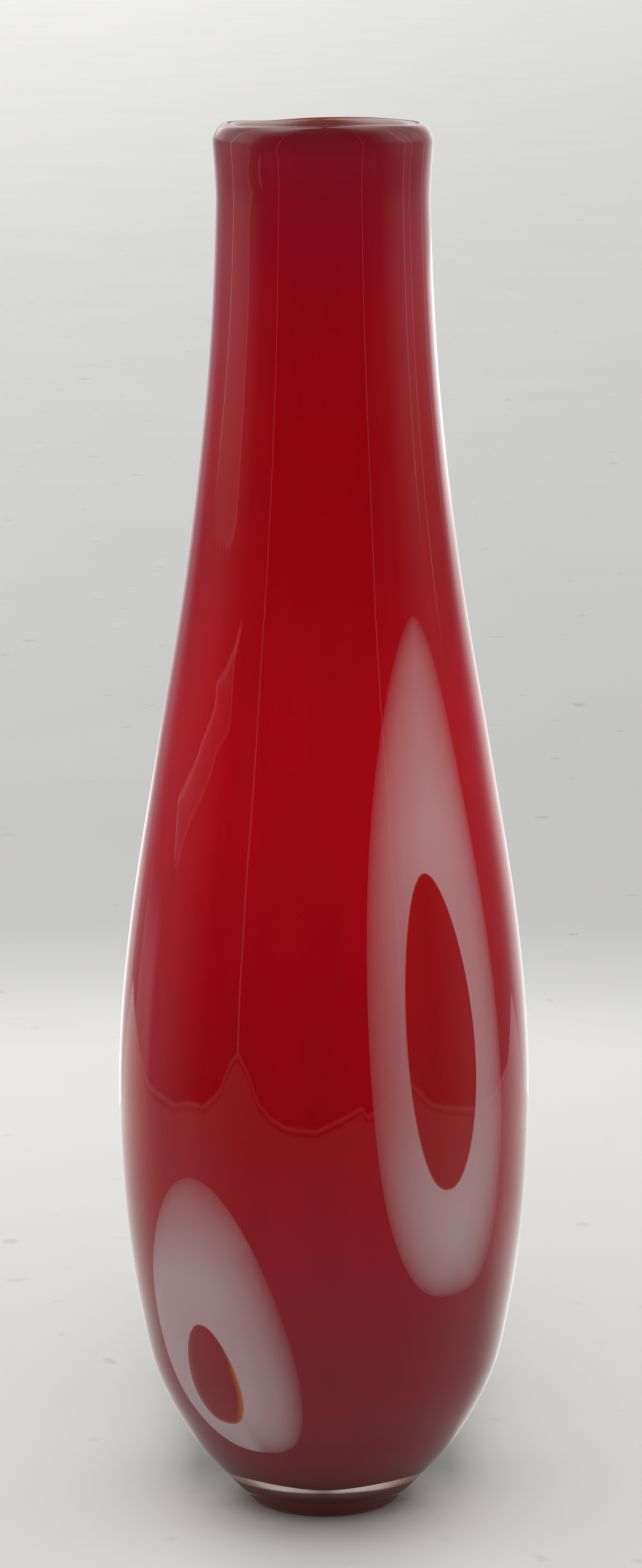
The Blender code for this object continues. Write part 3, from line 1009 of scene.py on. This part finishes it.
def rim_distance(outline):
    """A function that gives how far a spot is from the outline."""
    starts = np.array([tuple(point) for point in outline])
    runs = np.roll(starts, -1, axis=0) - starts
    lengths = (runs**2).sum(-1)

    def distance(spot):
        away = np.array(tuple(spot)) - starts
        share = np.clip((away * runs).sum(-1) / lengths, 0.0, 1.0)
        return float(np.sqrt((((away - runs * share[:, None]) ** 2).sum(-1)).min()))

    return distance


def rightness(oval, spot, up):
    """0 left of the oval's midline, 1 right of it, with a soft change between."""
    return eased(held(0.5 + (spot.x - midline(oval, up)) / MIDLINE_BLEND))


def patch(name, outline, hole, turn, lift, stored, paint):
    """A curved plate on the red layer between its outline and a hole's, or its middle.

    The rings crowd towards the outline, and paint gives the stored values of each point.
    """
    count = len(outline)
    made = bmesh.new()
    layers = [made.verts.layers.float.new(key) for key in stored]
    centre = sum(outline, Vector((0.0, 0.0))) / count
    spots = []
    for ring in range(OVAL_RINGS + 1):
        share = 1 - (1 - ring / OVAL_RINGS) ** RING_CROWDING
        spots.append([])
        for index in range(count):
            start = hole[index] if hole else centre
            spot = start.lerp(outline[index], share)
            spots[-1].append((spot, paint(spot)))
    grids = []
    for depth in (-lift, INLAY_DEPTH):
        grid = []
        for row in spots:
            verts = []
            for spot, values in row:
                vert = made.verts.new(on_bubble(spot.x, spot.y, turn, depth))
                for layer, value in zip(layers, values):
                    vert[layer] = value
                verts.append(vert)
            grid.append(verts)
        grids.append(grid)
    for grid in grids:
        for inner, outer in zip(grid, grid[1:]):
            bridge(made, inner, outer)
    bridge(made, grids[0][-1], grids[1][-1])
    if hole:
        bridge(made, grids[0][0], grids[1][0])
    else:
        bmesh.ops.remove_doubles(made, verts=made.verts, dist=WELD)
    bmesh.ops.recalc_face_normals(made, faces=made.faces)
    return finished(name, made, sharp=SHARP_ANGLE)


def make_ovals():
    pale = pale_glass()
    core_red = core_glass()
    for name, (oval, core, lift, oval_rim, core_rim), low, degrees in OVALS:
        turn = math.radians(degrees)
        oval_line = oval_outline(oval, low)
        core_line = oval_outline(core, low + lift)
        hole_line = oval_outline(core, low + lift, -CORE_LAP)
        to_oval = rim_distance(oval_line)
        to_core = rim_distance(core_line)

        def paint_pale(spot):
            up = (spot.y - low) / oval.length
            left, left_width, right, right_width, fullest = blend_at(oval_rim, up)
            near = to_oval(spot)
            share = rightness(oval, spot, up)
            left_fill = soft_fill(near, left, left_width) * (1 - share)
            return [fullest * (left_fill + soft_fill(near, right, right_width) * share)]

        def paint_core(spot):
            up = (spot.y - low - lift) / core.length
            left, right, width, mauve, mauve_width = blend_at(core_rim, up)
            near = to_core(spot)
            share = rightness(core, spot, up)
            amber = (left * (1 - share) + right * share) * (1 - eased(held(near / width)))
            return [amber, mauve * (1 - share) * (1 - eased(held(near / mauve_width)))]

        ring = patch(f"{name}_pale", oval_line, hole_line, turn, PALE_RAISE, ["cover"], paint_pale)
        ring.data.materials.append(pale)
        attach(ring, "root")
        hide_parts(f"{name}_oval")
        keys = ["amber", "mauve"]
        plug = patch(f"{name}_red", core_line, None, turn, CORE_RAISE, keys, paint_core)
        plug.data.materials.append(core_red)
        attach(plug, "root")
        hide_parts(f"{name}_core")


def make_vase():
    casing = make_casing()
    casing.data.materials.append(clear_glass())
    casing.data.materials.append(ground_glass())
    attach(casing, "root")
    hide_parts("clear_casing")
    red = make_red()
    red.data.materials.append(red_glass())
    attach(red, "root")
    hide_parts("red_layer")
    lining = make_lining()
    lining.data.materials.append(opal_glass())
    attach(lining, "root")
    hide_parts("opal_lining")
    make_ovals()


def make_camera():
    data = bpy.data.cameras.new("camera")
    data.lens = FOCAL_PX / FRAME_HEIGHT_PX * SENSOR
    data.sensor_width = SENSOR
    camera = linked("camera", data)
    camera.location = (CAMERA_SIDE, -CAMERA_DISTANCE, CAMERA_HEIGHT)
    camera.rotation_mode = "XYZ"
    camera.rotation_euler = (math.pi / 2 - CAMERA_PITCH, CAMERA_ROLL, 0.0)
    bpy.context.scene.camera = camera


def make_world():
    """Soft daylight from all round and above, weaker from the photographer's side."""
    world = bpy.data.worlds.new("daylight")
    world.use_nodes = True
    graph = Graph(world.node_tree)
    parts = graph.parts(graph.add("ShaderNodeTexCoord").outputs["Generated"])
    up = graph.spread(parts["Z"], SKY_RISE, (HORIZON_LIGHT, ZENITH_LIGHT))
    front = graph.spread(parts["Y"], FRONT_FADE, (FRONT_LIGHT_SHARE, 1.0))
    back = world.node_tree.nodes["Background"]
    graph.feed(back, {"Color": DAYLIGHT, "Strength": graph.times(up, front)})
    bpy.context.scene.world = world


def make_floor():
    """One pale sweep, shaded by its distance from the vase, that runs out to the horizon."""
    made = bmesh.new()
    bmesh.ops.create_circle(made, cap_ends=True, segments=128, radius=FLOOR_RADIUS)
    floor = finished("floor", made)
    floor.location.z = -FLOOR_GAP
    graph = Look("paper_sweep", {"Roughness": 0.9, "Specular IOR Level": 0.0})
    place = graph.place()
    parts = graph.parts(place)
    reach = graph.length(place)
    aside = graph.maths("ABSOLUTE", parts["X"])
    before = graph.times(
        graph.spread(aside, BEFORE_WIDTH, DOWN), graph.spread(parts["Y"], BEFORE_FROM, DOWN)
    )
    behind = graph.times(
        graph.spread(parts["Y"], BEHIND_FROM), graph.spread(parts["Y"], BEHIND_TO, DOWN)
    )
    # Painted light and shade on the floor, with its smears and specks
    tone = graph.times(
        graph.curve(graph.maths("LOGARITHM", reach, 10.0), FLOOR_TONES),
        graph.spread(parts["X"], *PAINTED_LIGHT_LEFT_TO_RIGHT),
        graph.spread(parts["Y"], *PAINTED_LIGHT_FRONT_TO_REAR),
        graph.curve(reach, CONTACT_SHADE),
        graph.mix(before, WHITE, graph.curve(reach, FRONT_SHADE)),
        graph.mix(behind, WHITE, graph.curve(aside, REAR_SHADE)),
        graph.spread(graph.noise(place, scale=5.0, detail=4.0), *SMEARS),
        graph.spread(graph.noise(place, scale=55.0, detail=1.0), *SPECKS),
    )
    colour = graph.colour(tone, tone, graph.times(tone, FLOOR_BLUE))
    floor.data.materials.append(graph.shade({"Base Color": colour}))
    floor.visible_glossy = False


def smooth_step(value, low, high):
    return eased(np.clip((value - low) / (high - low), 0.0, 1.0))


def band(value, comes, goes):
    """1 in a band, 0 outside it, with a soft change over each of the two spans."""
    return smooth_step(value, *comes) * (1 - smooth_step(value, *goes))


def ridge(value, place, strength, width):
    """The strength at a place and less to both sides of it."""
    return strength * np.exp(-(((value - place) / width) ** 2))


def fading(distance):
    """1 at an edge, and less past it."""
    return np.exp(-np.clip(distance, 0, None) / FADE_ANGLE)


def table_curve(value, table):
    spots = np.array(table)
    return np.interp(value, spots[:, 0], spots[:, 1])


def wandering(value, seed):
    """A slow smooth wander between about -1 and 1."""
    rng = np.random.default_rng(seed)
    total = np.zeros_like(value)
    for octave in range(4):
        pace = 9.0 * 1.9**octave
        total += np.sin(value * pace + rng.uniform(0, 2 * np.pi)) / 1.6**octave
    return total / 2.4


def veil_light(degrees, height):
    edge = table_curve(height, VEIL) + VEIL_WANDER * wandering(height * 6, seed=6)
    inside = smooth_step(edge - degrees, *VEIL_SOFT) * (1 - smooth_step(-degrees, *VEIL_END))
    light = inside * (VEIL_LIGHT + VEIL_GATHER * fading(edge - degrees))
    return light + ridge(degrees, edge, *VEIL_EDGE)


def fold_light(degrees, height):
    folds = np.array(FOLD)
    ragged = FOLD_RAGGED * wandering(height * 14, seed=5)
    left = np.interp(height, folds[:, 0], folds[:, 1]) + ragged
    right = np.interp(height, folds[:, 0], folds[:, 2]) + FOLD_RIGHT_SHARE * ragged
    inside = (degrees > left) * (degrees < right)
    light = inside * (FOLD_HAZE * fading(degrees - left) + FOLD_LIGHT)
    edges = ridge(degrees, left, *FOLD_LEFT_EDGE) + ridge(degrees, right, *FOLD_RIGHT_EDGE)
    return (light + edges) * band(height, *FOLD_SPANS)


def wall_light(degrees, height):
    """How bright the cloth wall is to the glass."""
    away = np.abs(degrees)
    beside = band(away, *SIDES)
    neck = smooth_step(height, *NECK_FROM)
    light = table_curve(degrees, WALL_BY_ANGLE)
    light = light * (1 + beside * (table_curve(height, WALL_BY_HEIGHT) - 1))
    for place, strength, width, wander, bottom, seed in WALL_LINES:
        line = place + wander * wandering(height, seed)
        there = smooth_step(height, bottom, bottom + SEAM_END)
        light = light + there * ridge(degrees, line, strength, width)
    broad = wandering(degrees * 0.35 + wandering(height, seed=31) * 0.4, seed=30)
    fine = wandering(degrees * 1.3 + wandering(height, seed=41) * 0.5, seed=40)
    streaks = BROAD_STREAKS * broad + (FINE_STREAKS + NECK_STREAKS * neck) * fine
    light = light * (1 + streaks * beside)
    light = light * (1 + ABOVE_GAIN * smooth_step(height, *ABOVE_FROM) * beside)
    high = smooth_step(height, *HIGH_FROM) * smooth_step(away, *REAR)
    light = light * (1 - high) + table_curve(degrees, HIGH_WALL) * high
    low = 1 - smooth_step(height, *LOW_UP_TO)
    gain = LEFT_REAR_GAIN * low * smooth_step(-degrees, *LEFT_REAR)
    gain = gain + (1 - low) * ridge(degrees, *REAR_GLOW)
    gain = gain + LEFT_SIDE_GAIN * low * band(-degrees, *LEFT_SIDE)
    right_neck = band(height, *RIGHT_NECK) * smooth_step(degrees, *RIGHT_REAR)
    light = light * (1 + gain) * (1 + RIGHT_NECK_GAIN * right_neck)
    return light + neck * veil_light(degrees, height) + fold_light(degrees, height)


def floor_light(degrees, reach):
    """How bright the floor is to the glass."""
    away = np.abs(degrees)
    to_side = smooth_step(away, *FRONT_TO_SIDE)
    to_rear = smooth_step(away, *SIDE_TO_REAR)
    light = table_curve(reach, FLOOR_FRONT) * (1 - to_side) + table_curve(reach, FLOOR_SIDE) * to_side
    light = light * (1 - to_rear) + table_curve(reach, FLOOR_REAR) * to_rear
    lit = LIT_RIGHT * smooth_step(degrees, *LIT_FROM) + LIT_LEFT * smooth_step(-degrees, *LIT_FROM)
    return light * (1 + lit * band(reach, *LIT_SPANS))


def make_tent():
    """The cloth light tent round the vase: only the glass's reflections see it."""
    heights = np.concatenate([np.arange(0.002, 0.46, 0.0025), np.linspace(0.47, TENT_HEIGHT, 30)])
    rings = [(reach, 0.0) for reach in np.linspace(0.0, TENT_RADIUS, 90)[1:]]
    rings += [(TENT_RADIUS, height) for height in heights]
    rings += [(reach, TENT_HEIGHT) for reach in np.linspace(TENT_RADIUS, 0.001, 12)[1:]]
    rings = np.array(rings)
    degrees = np.linspace(-180, 180, TENT_COLUMNS, endpoint=False)
    reach, degrees = np.meshgrid(rings[:, 0], degrees, indexing="ij")
    height = np.repeat(rings[:, 1:], TENT_COLUMNS, axis=1)
    hem = sum(table_curve(degrees + shift, HEM) for shift in (-1, 0, 1)) / 3
    hem = hem + HEM_WANDER * wandering(degrees * 0.12, seed=8)
    above = smooth_step(height - hem, *HEM_SOFT) * (height > 0.0)
    light = floor_light(degrees, reach) * (1 - above) + wall_light(degrees, height) * above
    path = height - (TENT_RADIUS - reach) * (height < 0.001)
    edge = ridge(path, hem, *HEM_EDGE) - ridge(path, hem - HEM_SHADE_BELOW, *HEM_SHADE)
    light = np.maximum(light + edge * (1 - smooth_step(np.abs(degrees), *FRONT_UP_TO)), 0.0)
    roof = smooth_step(height, *ROOF_SPAN)
    light = light * (1 - roof) + table_curve(degrees, ROOF_BY_ANGLE) * roof
    dim = 1 - smooth_step(light, *COOL_BELOW)
    cool = CLOTH_TINT + (1 - CLOTH_TINT + COOL_TINT * dim) * above
    turn = np.radians(degrees)
    spots = np.stack([reach * np.sin(turn), -reach * np.cos(turn), height - FLOOR_GAP * 2], -1)
    count = len(rings) * TENT_COLUMNS
    index = np.arange(count).reshape(len(rings), TENT_COLUMNS)
    after = np.roll(index, -1, axis=1)
    faces = np.stack([index[:-1], after[:-1], after[1:], index[1:]], -1).reshape(-1, 4)
    mesh = bpy.data.meshes.new("light_tent")
    mesh.vertices.add(count)
    mesh.vertices.foreach_set("co", spots.reshape(-1).astype(np.float32))
    mesh.loops.add(faces.size)
    mesh.loops.foreach_set("vertex_index", faces.reshape(-1).astype(np.int32))
    mesh.polygons.add(len(faces))
    mesh.polygons.foreach_set("loop_start", np.arange(0, faces.size, 4, dtype=np.int32))
    mesh.update(calc_edges=True)
    colours = np.stack([light * CLOTH_TINT, light, light * cool, np.ones_like(light)], -1)
    mesh.color_attributes.new("light", "FLOAT_COLOR", "POINT")
    mesh.color_attributes["light"].data.foreach_set("color", colours.reshape(-1).astype(np.float32))
    tent = linked("light_tent", mesh)
    material = bpy.data.materials.new("lit_cloth")
    material.use_nodes = True
    material.node_tree.nodes.clear()
    graph = Graph(material.node_tree)
    stored = graph.add("ShaderNodeAttribute", attribute_name="light").outputs["Color"]
    glow = graph.add("ShaderNodeEmission", {"Color": stored}).outputs["Emission"]
    graph.add("ShaderNodeOutputMaterial", {"Surface": glow})
    material.cycles.emission_sampling = "NONE"
    mesh.materials.append(material)
    for ray in ("camera", "diffuse", "transmission", "volume_scatter", "shadow"):
        setattr(tent, f"visible_{ray}", False)


def make_studio():
    bpy.context.scene.view_settings.view_transform = "Standard"
    make_world()
    make_floor()
    make_tent()


make_camera()
make_vase()
make_studio()
